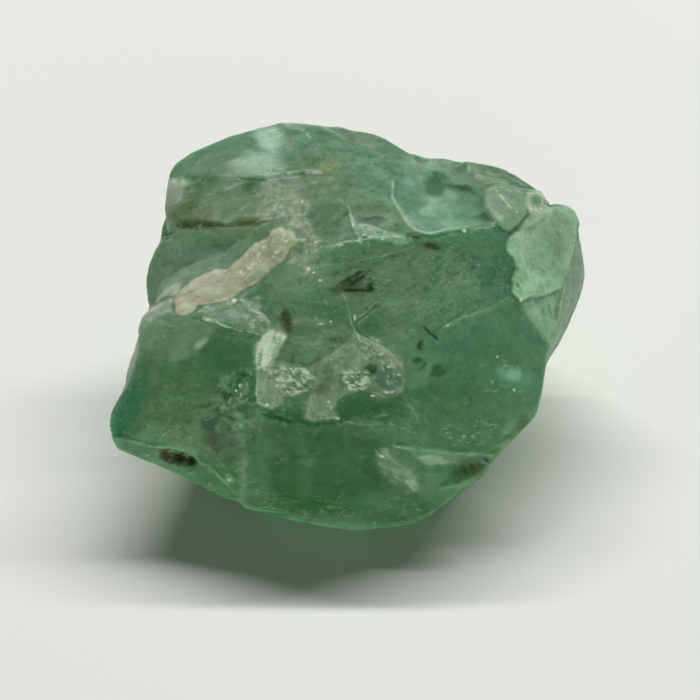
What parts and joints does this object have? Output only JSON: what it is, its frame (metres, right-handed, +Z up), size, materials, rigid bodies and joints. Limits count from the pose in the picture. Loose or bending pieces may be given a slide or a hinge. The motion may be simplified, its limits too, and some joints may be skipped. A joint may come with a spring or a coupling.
{
  "type": "raw emerald crystal",
  "caption": "Rough, included emerald lump with broken faces, layered ledges and a pale matrix seam, resting on a flat underside.",
  "frame": {"origin": "under the middle of the crystal's bounding box, on the flat face it rests on", "axes": "+Z up, +X along the longest way, from the low pointed tip to the pale slab; the dark broken face looks along -Y"},
  "size_m": [0.0268, 0.0234, 0.015],
  "materials": {
    "emerald": "translucent, included, broken faces from glossy to frosted"
  },
  "bodies": {
    "root": {"emerald_crystal": "emerald"}
  },
  "joints": []
}
